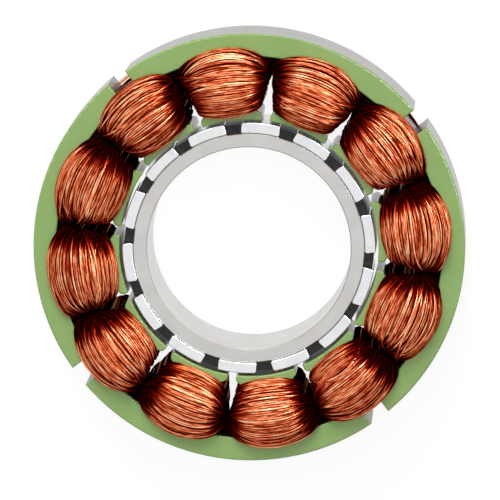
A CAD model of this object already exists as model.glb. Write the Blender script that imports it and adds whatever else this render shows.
import math
import random

import bmesh
import bpy
from mathutils import Matrix, Vector


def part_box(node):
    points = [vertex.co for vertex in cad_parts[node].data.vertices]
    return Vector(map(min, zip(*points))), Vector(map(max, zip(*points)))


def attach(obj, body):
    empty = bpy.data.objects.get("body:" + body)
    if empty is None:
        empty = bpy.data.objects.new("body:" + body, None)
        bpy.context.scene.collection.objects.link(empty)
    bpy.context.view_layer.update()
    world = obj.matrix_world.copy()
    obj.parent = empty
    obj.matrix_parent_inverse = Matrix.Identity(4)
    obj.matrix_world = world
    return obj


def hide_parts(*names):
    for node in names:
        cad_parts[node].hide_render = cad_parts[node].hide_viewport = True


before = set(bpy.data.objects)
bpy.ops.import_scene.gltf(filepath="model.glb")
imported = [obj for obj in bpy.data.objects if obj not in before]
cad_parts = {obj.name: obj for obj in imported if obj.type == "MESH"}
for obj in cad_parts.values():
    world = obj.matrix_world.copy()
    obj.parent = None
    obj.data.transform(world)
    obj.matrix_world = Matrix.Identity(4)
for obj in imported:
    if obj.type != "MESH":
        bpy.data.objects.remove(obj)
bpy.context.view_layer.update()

mm = 0.001
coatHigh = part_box("insulation_coat")[1]
coilLow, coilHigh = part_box("coil_01")
coilCount = 12
toothPitch = math.tau / coilCount
print("frame loaded")


# camera, at the place that the photo was taken from
shot = {
    "distance": 0.5815,     # from the middle of the front face
    "tilt": 9.305,          # degrees away from the motor's axis
    "tiltTowards": 34.33,   # degrees round the axis from +X
    "imageUp": 52.37,       # the direction that is up in the picture, degrees round from +X
    "lens": 362.1,
    "sensor": 36.0,
    "aimRight": 0.145 * mm, # the photo isn't centred quite on the motor
    "aimUp": -0.175 * mm,
}


def onAxis(degrees, tilt):
    # a direction, so many degrees round from +X and tilted away from the motor's axis
    turn, lean = math.radians(degrees), math.radians(tilt)
    return Vector((math.sin(lean) * math.cos(turn), math.sin(lean) * math.sin(turn), math.cos(lean)))


def aimed(back, upwards):
    # how a camera or lamp turns when its back faces one way and its top another
    right = upwards.cross(back).normalized()
    return Matrix((right, back.cross(right), back)).transposed().to_4x4()


def addObject(name, data):
    made = bpy.data.objects.new(name, data)
    bpy.context.collection.objects.link(made)
    return made


def makeCamera():
    data = bpy.data.cameras.new("camera")
    data.lens = shot["lens"]
    data.sensor_width = shot["sensor"]
    data.clip_start = 0.01
    data.clip_end = 20
    camera = addObject("camera", data)
    back = onAxis(shot["tiltTowards"], shot["tilt"])
    turned = aimed(back, onAxis(shot["imageUp"], 90))
    aim = Vector((0, 0, coatHigh.z)) + turned.to_3x3() @ Vector((shot["aimRight"], shot["aimUp"], 0))
    camera.matrix_world = Matrix.Translation(aim + back * shot["distance"]) @ turned
    bpy.context.scene.camera = camera


makeCamera()
print("camera placed")


# what the materials are built from
waveLength = 0.314      # of the wave texture at a scale of 1


def newMaterial(name, color, metallic, roughness):
    material = bpy.data.materials.new(name)
    material.use_nodes = True
    shader = material.node_tree.nodes["Principled BSDF"]
    shader.inputs["Base Color"].default_value = (*color, 1)
    shader.inputs["Metallic"].default_value = metallic
    shader.inputs["Roughness"].default_value = roughness
    return material, material.node_tree, shader


def addNode(tree, kind, settings=None, values=None):
    node = tree.nodes.new(kind)
    for key, value in (settings or {}).items():
        setattr(node, key, value)
    for key, value in (values or {}).items():
        node.inputs[key].default_value = value
    return node


def addMath(tree, operation, *values):
    # each value is a number or another node's output
    node = addNode(tree, "ShaderNodeMath", {"operation": operation})
    for slot, value in zip(node.inputs, values):
        if isinstance(value, (int, float)):
            slot.default_value = value
        else:
            tree.links.new(value, slot)
    return node.outputs[0]


def addMapRange(tree, source, low, high):
    # 0 up to the low value, 1 from the high one, and smooth between them
    node = addNode(tree, "ShaderNodeMapRange", {"interpolation_type": "SMOOTHSTEP"},
                   {"From Min": low, "From Max": high})
    tree.links.new(source, node.inputs["Value"])
    return node.outputs[0]


def addMultiply(tree, first, second):
    mix = addNode(tree, "ShaderNodeMix", {"data_type": "RGBA", "blend_type": "MULTIPLY"})
    mix.inputs[0].default_value = 1.0
    tree.links.new(first, mix.inputs[6])
    tree.links.new(second, mix.inputs[7])
    return mix.outputs[2]


def addNoise(tree, size, detail=2, stretch=(1, 1, 1)):
    # size is about how wide a blotch is, in metres
    place = addNode(tree, "ShaderNodeTexCoord")
    mapping = addNode(tree, "ShaderNodeMapping", values={"Scale": stretch})
    noise = addNode(tree, "ShaderNodeTexNoise", values={"Scale": 1 / size, "Detail": detail})
    tree.links.new(place.outputs["Object"], mapping.inputs["Vector"])
    tree.links.new(mapping.outputs["Vector"], noise.inputs["Vector"])
    return noise.outputs["Fac"]


def addRamp(tree, source, stops):
    ramp = addNode(tree, "ShaderNodeValToRGB")
    elements = ramp.color_ramp.elements
    while len(elements) < len(stops):
        elements.new(0.5)
    for element, (place, color) in zip(elements, stops):
        element.position = place
        element.color = (*color, 1)
    tree.links.new(source, ramp.inputs["Fac"])
    return ramp.outputs["Color"]


def addBlotches(tree, finish, detail=3, stretch=(1, 1, 1)):
    # soft patches of a finish's two colours
    noise = addNoise(tree, finish["blotch"], detail, stretch)
    low, high = finish["blend"]
    return addRamp(tree, noise, [(low, finish["color"]), (high, finish["paler"])])


def addBump(tree, shader, source, height):
    bump = addNode(tree, "ShaderNodeBump", values={"Distance": height})
    tree.links.new(source, bump.inputs["Height"])
    tree.links.new(bump.outputs["Normal"], shader.inputs["Normal"])


def addRadius(tree):
    # x, y and the distance from the motor's axis
    place = addNode(tree, "ShaderNodeTexCoord")
    split = addNode(tree, "ShaderNodeSeparateXYZ")
    tree.links.new(place.outputs["Object"], split.inputs[0])
    x, y = split.outputs["X"], split.outputs["Y"]
    squares = addMath(tree, "ADD", addMath(tree, "MULTIPLY", x, x), addMath(tree, "MULTIPLY", y, y))
    return x, y, addMath(tree, "SQRT", squares)


# the finish of each CAD node: two colours, how wide their patches are, and where in the noise they blend
coat = {
    "color": (0.265, 0.43, 0.122),
    "paler": (0.285, 0.455, 0.142),
    "blotch": 3 * mm,
    "blend": (0.3, 0.75),
    "roughness": 0.19,
    "orangePeel": 0.45 * mm,    # how wide the bumps in the coat are
    "peelHeight": 0.004 * mm,
}


def coatMaterial():
    material, tree, shader = newMaterial("greenEpoxy", coat["color"], 0, coat["roughness"])
    tree.links.new(addBlotches(tree, coat), shader.inputs["Base Color"])
    addBump(tree, shader, addNoise(tree, coat["orangePeel"]), coat["peelHeight"])
    return material


pack = {
    "color": (0.3, 0.295, 0.285),
    "paler": (0.39, 0.385, 0.37),
    "blotch": 2 * mm,
    "stretch": (0.2, 0.2, 8),       # the patches run along the sheets
    "blend": (0.3, 0.7),
    "punched": (0.62, 0.61, 0.6),   # what the notches' walls keep of it: they aren't ground like the outside
    "groundFrom": 24.85 * mm,       # from the motor's axis to the ground outside
    "groundTo": 24.95 * mm,
    "roughness": 0.33,
    "sheet": 0.35 * mm,
    "groove": 0.25,                 # how far up its wave the groove between two sheets reaches
    "grooveHeight": 0.004 * mm,
}


def packMaterial():
    material, tree, shader = newMaterial("laminationSteel", pack["paler"], 1, pack["roughness"])
    place = addNode(tree, "ShaderNodeTexCoord")
    waves = addNode(tree, "ShaderNodeTexWave", {"bands_direction": "Z", "wave_profile": "SIN"},
                    {"Scale": waveLength / pack["sheet"], "Distortion": 0.0})
    tree.links.new(place.outputs["Object"], waves.inputs["Vector"])
    sheets = addRamp(tree, waves.outputs["Fac"], [(0.0, (0, 0, 0)), (pack["groove"], (1, 1, 1))])
    color = addBlotches(tree, pack, stretch=pack["stretch"])
    ground = addMapRange(tree, addRadius(tree)[2], pack["groundFrom"], pack["groundTo"])
    kept = addRamp(tree, ground, [(0.0, pack["punched"]), (1.0, (1, 1, 1))])
    tree.links.new(addMultiply(tree, color, kept), shader.inputs["Base Color"])
    addBump(tree, shader, sheets, pack["grooveHeight"])
    return material


ring = {
    "color": (0.53, 0.52, 0.505),
    "paler": (0.6, 0.59, 0.575),
    "blotch": 4 * mm,
    "blend": (0.3, 0.7),
    "roughness": 0.3,
    "toolMark": 0.06 * mm,
    "markWander": 0.4,
    "markHeight": 0.0006 * mm,
}


def ringMaterial():
    material, tree, shader = newMaterial("turnedSteel", ring["color"], 1, ring["roughness"])
    tree.links.new(addBlotches(tree, ring), shader.inputs["Base Color"])
    place = addNode(tree, "ShaderNodeTexCoord")
    marks = addNode(tree, "ShaderNodeTexWave", {"wave_type": "RINGS", "rings_direction": "Z"},
                    {"Scale": waveLength / ring["toolMark"], "Distortion": ring["markWander"], "Detail": 1.0})
    tree.links.new(place.outputs["Object"], marks.inputs["Vector"])
    addBump(tree, shader, marks.outputs["Fac"], ring["markHeight"])
    return material


magnet = {
    "color": (0.72, 0.735, 0.755),
    "paler": (0.8, 0.81, 0.825),
    "blotch": 1.5 * mm,
    "blend": (0.3, 0.7),
    "roughness": 0.24,
    "grain": 0.12 * mm,
    "grainHeight": 0.0007 * mm,
}


def magnetMaterial():
    material, tree, shader = newMaterial("nickelPlate", magnet["color"], 1, magnet["roughness"])
    tree.links.new(addBlotches(tree, magnet), shader.inputs["Base Color"])
    addBump(tree, shader, addNoise(tree, magnet["grain"]), magnet["grainHeight"])
    return material


fill = {
    "color": (0.012, 0.012, 0.013),
    "paler": (0.028, 0.028, 0.03),
    "blotch": 0.5 * mm,
    "blend": (0.3, 0.8),
    "roughness": 0.25,
    "shine": 0.2,
    "ripple": 0.7 * mm,
    "rippleHeight": 0.03 * mm,
}


def fillMaterial():
    material, tree, shader = newMaterial("blackAdhesive", fill["color"], 0, fill["roughness"])
    shader.inputs["Specular IOR Level"].default_value = fill["shine"]
    tree.links.new(addBlotches(tree, fill), shader.inputs["Base Color"])
    addBump(tree, shader, addNoise(tree, fill["ripple"], 1), fill["rippleHeight"])
    return material


joiningWire = {
    "color": (1.0, 0.4, 0.17),
    "paler": (1.0, 0.62, 0.36),
    "blotch": 1.2 * mm,
    "blend": (0.3, 0.7),
    "roughness": 0.3,
}


def wireMaterial():
    material, tree, shader = newMaterial("enamelledWire", joiningWire["paler"], 0, joiningWire["roughness"])
    tree.links.new(addBlotches(tree, joiningWire, 2), shader.inputs["Base Color"])
    return material


sleeve = {
    "average": (0.62, 0.57, 0.4),   # for a viewer that can't show the weave
    "color": (0.5, 0.44, 0.28),
    "paler": (0.7, 0.66, 0.5),
    "blotch": 0.15 * mm,            # one thread of the weave
    "blend": (0.35, 0.65),
    "roughness": 0.5,
    "weaveHeight": 0.02 * mm,
}


def sleeveMaterial():
    material, tree, shader = newMaterial("varnishedSleeve", sleeve["average"], 0, sleeve["roughness"])
    tree.links.new(addBlotches(tree, sleeve, 2), shader.inputs["Base Color"])
    addBump(tree, shader, addNoise(tree, sleeve["blotch"]), sleeve["weaveHeight"])
    return material


def paintNodes():
    wire = wireMaterial()
    finishes = {"insulation_coat": coatMaterial(), "lamination_pack": packMaterial(),
                "rotor_ring": ringMaterial(), "magnet_": magnetMaterial(), "adhesive_": fillMaterial(),
                "crossover_": wire, "star_wire": wire, "star_tap": wire, "star_sleeve": sleeveMaterial()}
    for name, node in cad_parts.items():
        for start, material in finishes.items():
            if name.startswith(start):
                node.data.materials.clear()
                node.data.materials.append(material)


paintNodes()
print("cad nodes painted")


# the strands' copper, which is painted darker towards the next coil
copper = {
    # from a strand's side, in shadow, to its crown
    "shades": [(0.0, (0.003, 0.0002, 0.0001)), (0.12, (0.045, 0.0012, 0.0003)), (0.3, (0.18, 0.0045, 0.001)),
               (0.5, (0.42, 0.036, 0.009)), (0.74, (0.85, 0.22, 0.083)), (1.0, (1.0, 0.62, 0.36))],
    "plain": (0.42, 0.036, 0.009),  # for a viewer that can't show the shades
    "edge": (1.0, 0.42, 0.2),
    "roughness": 0.3,
    "side": 0.15,               # how far up its round section a strand is still all in shadow
    "sideDepth": 0.15,          # how bright it is there
    "darkest": 0.4,             # how bright the darkest strand's crown is
    "toneRange": 0.32,          # how much brighter the lightest strand is
    "streak": 1.6 * mm,         # how long a lighter or darker length of one strand is
    "streakBlend": (0.3, 0.7),  # where in the noise the darker lengths turn into the lighter ones
    "streakRange": 0.4,         # how much brighter its lighter lengths are
    "metallic": 0.4,            # of the brightest places
    "metallicFrom": (0.35, 0.75),   # how bright a place is when it starts to be metallic, and is fully so
    "glint": 0.9,               # of the lightest strands, also in shadow, so that some shine there
    "glintFrom": (0.65, 0.9),   # which strands those are
    "shadowLean": 2.6,          # degrees that the shadow between two coils lies over onto one of them
    "shadowSide": 52.4,         # the way that the darker sides face, degrees round from +X
    "crevice": 0.9 * mm,        # this near the middle of that shadow the strands are all dark
    "open": 3.0 * mm,           # and this far from it they have their full colour
    "deepest": 0.12,            # how bright the strands are in it
    "ragged": 0.9 * mm,         # how far that shadow's edge differs from strand to strand
}


def addFromCrevice(tree):
    # how far a place is from the middle of the nearest shadow between two coils
    x, y, radius = addRadius(tree)
    side = math.radians(copper["shadowSide"] - 90)
    faces = addMath(tree, "ADD", addMath(tree, "MULTIPLY", x, math.cos(side)),
                    addMath(tree, "MULTIPLY", y, math.sin(side)))
    lean = addMath(tree, "MULTIPLY", addMath(tree, "DIVIDE", faces, radius),
                   math.radians(copper["shadowLean"]))
    around = addMath(tree, "ADD", addMath(tree, "ARCTAN2", y, x), lean)
    fromTooth = addMath(tree, "PINGPONG", around, toothPitch / 2)
    return addMath(tree, "MULTIPLY", radius, addMath(tree, "SUBTRACT", toothPitch / 2, fromTooth))


def addShare(tree, source, low, high, least):
    # the least share up to the low value, and all from the high one
    return addMath(tree, "MULTIPLY_ADD", addMapRange(tree, source, low, high), 1 - least, least)


def addField(tree, name, output="Fac"):
    return addNode(tree, "ShaderNodeAttribute", {"attribute_name": name}).outputs[output]


def strandMaterial():
    material, tree, shader = newMaterial("enamelledStrands", copper["plain"], copper["metallic"],
                                         copper["roughness"])
    shader.inputs["Specular IOR Level"].default_value = 0
    shader.inputs["Specular Tint"].default_value = (*copper["edge"], 1)
    tone = addField(tree, "strandTone")
    streaks = addNode(tree, "ShaderNodeTexNoise", values={"Scale": 1 / copper["streak"], "Detail": 2.0})
    tree.links.new(addField(tree, "strandPlace", "Vector"), streaks.inputs["Vector"])
    streak = addMapRange(tree, streaks.outputs["Fac"], *copper["streakBlend"])

    fromShadow = addMath(tree, "MULTIPLY_ADD", tone, copper["ragged"], addFromCrevice(tree))
    clear = addShare(tree, fromShadow, copper["crevice"], copper["open"], copper["deepest"])
    section = addShare(tree, addField(tree, "strandCrown"), copper["side"], 1.0, copper["sideDepth"])
    lighter = addMath(tree, "ADD", addMath(tree, "MULTIPLY", tone, copper["toneRange"]),
                      addMath(tree, "MULTIPLY", streak, copper["streakRange"]))
    crown = addMath(tree, "ADD", copper["darkest"], lighter)
    bright = addMath(tree, "MULTIPLY", addMath(tree, "MULTIPLY", section, crown), clear)
    tree.links.new(addRamp(tree, bright, copper["shades"]), shader.inputs["Base Color"])

    shiny = addMath(tree, "MULTIPLY", addMapRange(tree, bright, *copper["metallicFrom"]), copper["metallic"])
    glint = addMath(tree, "MULTIPLY", addMapRange(tree, tone, *copper["glintFrom"]), copper["glint"])
    tree.links.new(addMath(tree, "MAXIMUM", shiny, glint), shader.inputs["Metallic"])
    return material


windingCore = {
    "color": (0.004, 0.0012, 0.001),
    "paler": (0.014, 0.003, 0.002),
    "blotch": 0.3 * mm,
    "blend": (0.3, 0.8),
    "roughness": 0.8,
    "depth": 0.62 * mm,         # how far under the outside of the coil it lies
    "under": 1.3,               # and how far under the strands at the sides, in strands
    "rows": 14,                 # from the magnets' side to the rim's side
    "sideOut": 22.0 * mm,       # where it ends in the slot, from the motor's axis
    "gap": 0.02 * mm,           # from the slot's middle, so that the cores of two coils don't touch
    "deep": 0.5 * mm,           # it widens in the slot this far below the tooth's end
    "widensFrom": 0.4,          # as a share of the way out along the slot
    "widensOver": 0.17,
    "inside": 2.25 * mm,        # from the tooth's middle to its inner face
    "insideRise": 0.1 * mm,     # how high that face passes over the tooth's end
    "insideRows": (0.9, 0.5, 0.1),  # from the rim's side back to the magnets' side
    "weld": 1e-7,               # points nearer to each other than this become one
}


def coreMaterial():
    material, tree, shader = newMaterial("windingCore", windingCore["color"], 0, windingCore["roughness"])
    shader.inputs["Specular IOR Level"].default_value = 0
    tree.links.new(addBlotches(tree, windingCore, 2), shader.inputs["Base Color"])
    return material


# coils: each is a bundle of strands over a dark core that fills the middle
coil = {
    "seed": 100,
    "strand": 0.26 * mm,
    "outerLayer": 42,
    "innerLayer": 34,
    "strays": 13,               # strands that lie over the outer layer and cross it
    "archPower": 2.45,          # 2 is a round arch over the tooth, more is a squarer one
    "endPower": 2.5,            # the same for the bundle's section
    "profileSteps": 240,        # how finely that section is measured
    "bulge": 0.48,              # less swells out sooner from the slot
    "sideIn": 16.2 * mm,        # where the strands go down into the slot, nearest the magnets
    "sideOut": 20.9 * mm,       # and nearest the rim
    "sideWidthIn": 3.55 * mm,   # how far from the tooth's middle they are there
    "sideWidthOut": 5.44 * mm,
    "sideLayer": 0.2 * mm,      # how much nearer to the tooth each layer is
    "gatherAt": 0.68,           # how far out along the tooth the strands draw together
    "ungathered": 0.25,         # nearer the magnets than this they do so less and less
    "gatherLoose": (0.85, 1.0), # how spread out one side of a coil stays
    "gatherTight": (0.25, 0.75),    # and the other side
    "ownPlace": (0.4, 0.6),     # where in its own place a strand lies
    "skew": 0.06,               # how far off its place it may enter the slot, as a share of the bundle
    "straySkew": 0.5,           # the same for a stray
    "strayPlaces": (0.15, 0.9), # where the strays lie, from the magnets' side out
    "wobble": 0.09 * mm,        # how far a strand wanders sideways
    "wobbleDown": 0.7,          # and how much of that it sinks into the bundle
    "strayWobble": 2,           # how many times as far a stray wanders
    "rearShift": 0.01,          # how much its place on the rear head may differ
    "innerDepth": 1.35,         # how deep the inner layer's strands lie, in strands
    "headPoints": 26,           # along one strand over one head
    "outerRound": 2,            # how round the strands' section is
    "innerRound": 0,            # these are mostly hidden
    "innerBrightest": 0.6,      # the inner layer's strands are darker
    "bundleMiddle": 19.2 * mm,  # from the motor's axis
    "facesFrom": 0.35,          # a crown faces away from a place this much of the way out from there
}


def clamp(value):
    return min(1, max(0, value))


def endProfile(inward):
    # the bundle's outline over the tooth's middle: places from the magnets' side out, and the way to each
    low, high = coilLow.x + inward, coilHigh.x - inward
    rise = coilHigh.z - coatHigh.z - inward
    steps = coil["profileSteps"]
    places = []
    for step in range(steps + 1):
        angle = math.pi * step / steps
        along = (low + high) / 2 - (high - low) / 2 * math.cos(angle)
        places.append((along, rise * math.sin(angle) ** (2 / coil["endPower"])))
    lengths = [0]
    for before, after in zip(places, places[1:]):
        lengths.append(lengths[-1] + math.dist(before, after))
    return places, lengths


def placeAt(profile, share):
    # a share of the way along that outline
    places, lengths = profile
    wanted = share * lengths[-1]
    for index in range(1, len(lengths)):
        if lengths[index] >= wanted:
            part = (wanted - lengths[index - 1]) / (lengths[index] - lengths[index - 1])
            before, after = places[index - 1], places[index]
            return before[0] + (after[0] - before[0]) * part, before[1] + (after[1] - before[1]) * part
    return places[-1]


def sidePlace(share, layer):
    # where a strand lies in the slot: how far along the tooth and how far out from its middle
    along = coil["sideIn"] + (coil["sideOut"] - coil["sideIn"]) * share
    width = coil["sideWidthIn"] + (coil["sideWidthOut"] - coil["sideWidthIn"]) * share
    return along, width - coil["sideLayer"] * layer


def wave(draw, size):
    # a gentle random wander along a strand, nothing at its ends
    turns = [(draw.uniform(-1, 1), draw.uniform(0, math.tau), count) for count in (1, 2, 3)]
    return lambda part: size * math.sin(math.pi * part) * sum(
        amount / count * math.sin(count * math.pi * part + phase) for amount, phase, count in turns)


def still(part):
    return 0


def headPoints(top, fromSide, toSide, sway=still, lift=still):
    # over one head, from the slot on one side of the tooth to the other one
    along, rise = top
    points = []
    for step in range(coil["headPoints"]):
        part = step / (coil["headPoints"] - 1)
        angle = math.pi * part
        across = -math.copysign(abs(math.cos(angle)) ** (2 / coil["archPower"]), math.cos(angle))
        up = math.sin(angle) ** (2 / coil["archPower"]) if 0 < part < 1 else 0
        share = (across + 1) / 2
        width = fromSide[1] + (toSide[1] - fromSide[1]) * share
        side = fromSide[0] + (toSide[0] - fromSide[0]) * share
        out = (1 - across * across) ** coil["bulge"]
        x = side + (along - side) * out + sway(part)
        z = coatHigh.z + rise * up + lift(part)
        points.append(Vector((x, across * width, z)))
    return points


def bothHeads(front, rear):
    # one closed turn: over the front head, down the slot, over the rear head and back up
    for point in rear:
        point.z = -point.z
    return front + rear[::-1]


def strandLoop(profile, share, skew, layer, draw, looseness, gather):
    def side(tightness):
        # a tight side draws all but the innermost strands together before they go down into the slot
        there = clamp(share + draw.uniform(-skew, skew))
        tightness += (1 - tightness) * max(0, 1 - there / coil["ungathered"])
        return sidePlace(coil["gatherAt"] + (there - coil["gatherAt"]) * tightness, layer)

    def head(share):
        sway, up = wave(draw, looseness), wave(draw, looseness * coil["wobbleDown"])
        return headPoints(placeAt(profile, clamp(share)), left, right, sway, lambda part: min(0, up(part)))

    left, right = side(gather[0]), side(gather[1])
    shift = coil["rearShift"]
    return bothHeads(head(share), head(share + draw.uniform(-shift, shift)))


def windStrands(draw):
    # the outer layer with the strays that cross it, and the layer under them: in the slot both lie
    # several deep
    outer = endProfile(coil["strand"] / 2)
    inner = endProfile(coil["strand"] * coil["innerDepth"])
    wobble, skew = coil["wobble"], coil["skew"]
    outerLoops, innerLoops = [], []
    gather = [draw.uniform(*coil["gatherLoose"]), draw.uniform(*coil["gatherTight"])]
    draw.shuffle(gather)
    for index in range(coil["outerLayer"]):
        share = (index + draw.uniform(*coil["ownPlace"])) / coil["outerLayer"]
        outerLoops.append(strandLoop(outer, share, skew, index % 3, draw, wobble, gather))
    for _ in range(coil["strays"]):
        share = draw.uniform(*coil["strayPlaces"])
        outerLoops.append(strandLoop(outer, share, coil["straySkew"], 0, draw,
                                     wobble * coil["strayWobble"], gather))
    for index in range(coil["innerLayer"]):
        share = (index + 0.5) / coil["innerLayer"]
        innerLoops.append(strandLoop(inner, share, skew, 2 + index % 2, draw, wobble, (1, 1)))
    return outerLoops, innerLoops


def strandMesh(name, loops, resolution, turn):
    # a tube along each loop
    data = bpy.data.curves.new(name, "CURVE")
    data.dimensions = "3D"
    data.bevel_depth = coil["strand"] / 2
    data.bevel_resolution = resolution
    for loop in loops:
        spline = data.splines.new("POLY")
        spline.points.add(len(loop) - 1)
        for point, place in zip(spline.points, loop):
            point.co = (*(turn @ place), 1)
        spline.use_cyclic_u = True
    curve = addObject(name, data)
    bpy.context.view_layer.update()
    mesh = bpy.data.meshes.new_from_object(curve.evaluated_get(bpy.context.evaluated_depsgraph_get()))
    bpy.data.objects.remove(curve)
    bpy.data.curves.remove(data)
    return mesh


def strandFields(mesh, loops, turn, draw, brightest):
    # for each vertex: how light its strand is, 1 where it faces out of the bundle, and its own noise place
    count = len(mesh.vertices) // sum(len(loop) for loop in loops)
    middle, facesFrom = coil["bundleMiddle"], coil["facesFrom"]
    vertices = iter(mesh.vertices)
    tones, crowns, places = [], [], []
    for loop in loops:
        tone = draw.random() * brightest
        start, along, before = draw.uniform(0, 1), 0.0, loop[0]
        for place in loop:
            along += (place - before).length
            before = place
            height = min(coatHigh.z, max(-coatHigh.z, place.z))
            inside = Vector((middle + (place.x - middle) * facesFrom, place.y * facesFrom, height))
            outward = turn @ (place - inside).normalized()
            centre = turn @ place
            for _ in range(count):
                aside = next(vertices).co - centre
                tones.append(tone)
                crowns.append(max(0.0, aside.normalized().dot(outward)))
                places += [start, along, 0.0]
    return tones, crowns, places


def coreSide(share):
    # in the slot the core lies just inside the strands near the magnets and fills the slot near the rim
    along = coil["sideIn"] + (windingCore["sideOut"] - coil["sideIn"]) * share
    narrow = sidePlace(share, 0)[1] - coil["strand"]
    full = along * math.tan(toothPitch / 2) - windingCore["gap"]
    part = clamp((share - windingCore["widensFrom"]) / windingCore["widensOver"])
    return along, narrow + (full - narrow) * part


def coreLoop(top, side, slotSide):
    # the same over both heads, and wider below the ends of the teeth
    head = headPoints(top, side, side)
    deep = coatHigh.z - windingCore["deep"]
    left = Vector((slotSide[0], -slotSide[1], deep))
    right = Vector((slotSide[0], slotSide[1], deep))
    front = [left] + head + [right]
    return bothHeads(front, [point.copy() for point in front])


def coreRing(turn):
    # a closed ring round the tooth: a grid bent round it one way and round the bundle the other way
    profile = endProfile(windingCore["depth"])
    rows = windingCore["rows"]
    loops = []
    for row in range(rows):
        share = row / (rows - 1)
        along, width = sidePlace(share, 0)
        side = (along, width - coil["strand"] * windingCore["under"])
        loops.append(coreLoop(placeAt(profile, share), side, coreSide(share)))
    for share in windingCore["insideRows"]:
        side = (sidePlace(share, 0)[0], windingCore["inside"])
        loops.append(coreLoop((side[0], windingCore["insideRise"]), side, side))
    loops.append(loops[0])
    count = len(loops[0])
    made = bmesh.new()
    bmesh.ops.create_grid(made, x_segments=len(loops) - 1, y_segments=count, size=1)
    for vert in made.verts:
        row = round((vert.co.x + 1) / 2 * (len(loops) - 1))
        step = round((vert.co.y + 1) / 2 * count) % count
        vert.co = turn @ loops[row][step]
    bmesh.ops.remove_doubles(made, verts=made.verts[:], dist=windingCore["weld"])
    bmesh.ops.recalc_face_normals(made, faces=made.faces[:])
    mesh = bpy.data.meshes.new("core")
    made.to_mesh(mesh)
    made.free()
    return mesh


def windingMesh(number, name):
    # the strands and their core as one mesh, with what the strands' material reads at each vertex
    draw = random.Random(coil["seed"] + number)
    turn = Matrix.Rotation((number - 1) * toothPitch, 4, "Z")
    outerLoops, innerLoops = windStrands(draw)
    layers = ((outerLoops, coil["outerRound"], 1.0),
              (innerLoops, coil["innerRound"], coil["innerBrightest"]))
    made = bmesh.new()
    fields = [[], [], []]
    for loops, resolution, brightest in layers:
        mesh = strandMesh(name + "Strands", loops, resolution, turn)
        for field, values in zip(fields, strandFields(mesh, loops, turn, draw, brightest)):
            field += values
        made.from_mesh(mesh)
        bpy.data.meshes.remove(mesh)
    for face in made.faces:
        face.smooth = True
    strandFaces = len(made.faces)
    core = coreRing(turn)
    for field, width in zip(fields, (1, 1, 3)):
        field += [0.0] * len(core.vertices) * width
    made.from_mesh(core)
    bpy.data.meshes.remove(core)
    made.faces.ensure_lookup_table()
    for face in made.faces[strandFaces:]:
        face.material_index = 1

    mesh = bpy.data.meshes.new(name + "Winding")
    made.to_mesh(mesh)
    made.free()
    for attribute, values in zip(("strandTone", "strandCrown"), fields):
        mesh.attributes.new(attribute, "FLOAT", "POINT").data.foreach_set("value", values)
    mesh.attributes.new("strandPlace", "FLOAT_VECTOR", "POINT").data.foreach_set("vector", fields[2])
    return mesh


def addCoil(number, materials):
    name = f"coil_{number:02d}"
    mesh = windingMesh(number, name)
    for material in materials:
        mesh.materials.append(material)
    piece = addObject(name + "_winding", mesh)
    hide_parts(name)
    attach(piece, "stator")
    return len(mesh.polygons)


coilMaterials = [strandMaterial(), coreMaterial()]
faces = sum(addCoil(number, coilMaterials) for number in range(1, coilCount + 1))
print("coils wound,", faces, "faces")


# floor and light
studio = {
    "floorSize": 3.0,
    "floorColor": 0.8,
    "floorGlow": 0.88,      # the white that the camera sees of the floor, even in shadow
    "floorShade": 0.2,      # and how much the light on it adds
    "skyLight": 0.3,
    # directions are in degrees round from image right, and tilts off the motor's axis
    "lamps": {
        "softbox": {"direction": 80, "tilt": 8, "distance": 0.8, "width": 0.8, "height": 0.8, "power": 1.95},
        "key": {"direction": 100, "tilt": 52, "distance": 0.7, "width": 0.4, "height": 0.4, "power": 3.0},
        "edgeLight": {"direction": 35, "tilt": 44, "distance": 0.7, "width": 0.8, "height": 0.1, "power": 4.5},
    },
    "shineOnly": ("edgeLight",),    # it shows only in what mirrors it
    "noShine": ("softbox",),        # metal mirrors the white round it instead
}


def rayMix(tree, seen, lit):
    # seen is what the camera, mirrors and glass meet, and lit is what shines on other things
    path = addNode(tree, "ShaderNodeLightPath")
    mix = addNode(tree, "ShaderNodeMixShader")
    seenRays = addMath(tree, "MAXIMUM", path.outputs["Is Camera Ray"], path.outputs["Is Glossy Ray"])
    tree.links.new(addMath(tree, "MAXIMUM", seenRays, path.outputs["Is Transmission Ray"]), mix.inputs[0])
    tree.links.new(lit, mix.inputs[1])
    tree.links.new(seen, mix.inputs[2])
    return mix.outputs[0]


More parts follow.
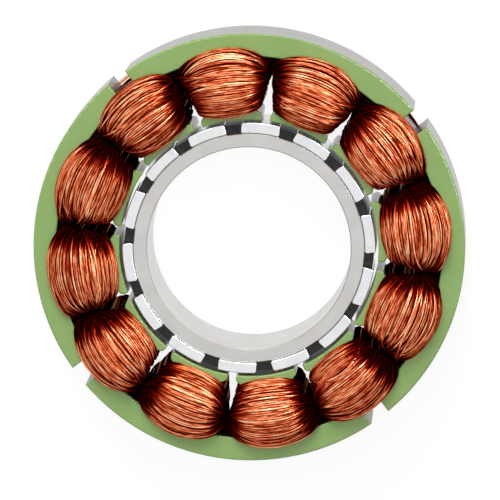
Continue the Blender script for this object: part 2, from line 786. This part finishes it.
def floorMaterial():
    material = bpy.data.materials.new("whiteFloor")
    material.use_nodes = True
    tree = material.node_tree
    tree.nodes.clear()
    grey, shade = studio["floorColor"], studio["floorShade"]
    lit = addNode(tree, "ShaderNodeBsdfDiffuse", values={"Color": (grey, grey, grey, 1)})
    weak = addNode(tree, "ShaderNodeBsdfDiffuse", values={"Color": (shade, shade, shade, 1)})
    glow = addNode(tree, "ShaderNodeEmission", values={"Strength": studio["floorGlow"]})
    seen = addNode(tree, "ShaderNodeAddShader")
    tree.links.new(weak.outputs[0], seen.inputs[0])
    tree.links.new(glow.outputs[0], seen.inputs[1])
    out = addNode(tree, "ShaderNodeOutputMaterial")
    tree.links.new(rayMix(tree, seen.outputs[0], lit.outputs[0]), out.inputs["Surface"])
    return material


def addFloor():
    made = bmesh.new()
    bmesh.ops.create_grid(made, x_segments=1, y_segments=1, size=studio["floorSize"] / 2)
    bmesh.ops.translate(made, verts=made.verts[:], vec=(0, 0, coilLow.z))
    mesh = bpy.data.meshes.new("floor")
    made.to_mesh(mesh)
    made.free()
    mesh.materials.append(floorMaterial())
    floor = addObject("floor", mesh)


def addSky():
    world = bpy.data.worlds.new("studio")
    bpy.context.scene.world = world
    world.use_nodes = True
    tree = world.node_tree
    tree.nodes.clear()
    seen = addNode(tree, "ShaderNodeBackground", values={"Color": (1, 1, 1, 1), "Strength": 1.0})
    lit = addNode(tree, "ShaderNodeBackground",
                  values={"Color": (1, 1, 1, 1), "Strength": studio["skyLight"]})
    out = addNode(tree, "ShaderNodeOutputWorld")
    tree.links.new(rayMix(tree, seen.outputs[0], lit.outputs[0]), out.inputs["Surface"])


def addLamp(name, direction, tilt, distance, width, height, power):
    data = bpy.data.lights.new(name, "AREA")
    data.shape = "ELLIPSE"
    data.size = width
    data.size_y = height
    data.energy = power
    lamp = addObject(name, data)
    back = onAxis(shot["imageUp"] - 90 + direction, tilt)
    lamp.matrix_world = Matrix.Translation(back * distance) @ aimed(back, Vector((0, 0, 1)))
    lamp.visible_diffuse = name not in studio["shineOnly"]
    lamp.visible_glossy = name not in studio["noShine"]


addFloor()
addSky()
for lampName, settings in studio["lamps"].items():
    addLamp(lampName, **settings)
bpy.context.scene.view_settings.view_transform = "Standard"
print("studio lit")
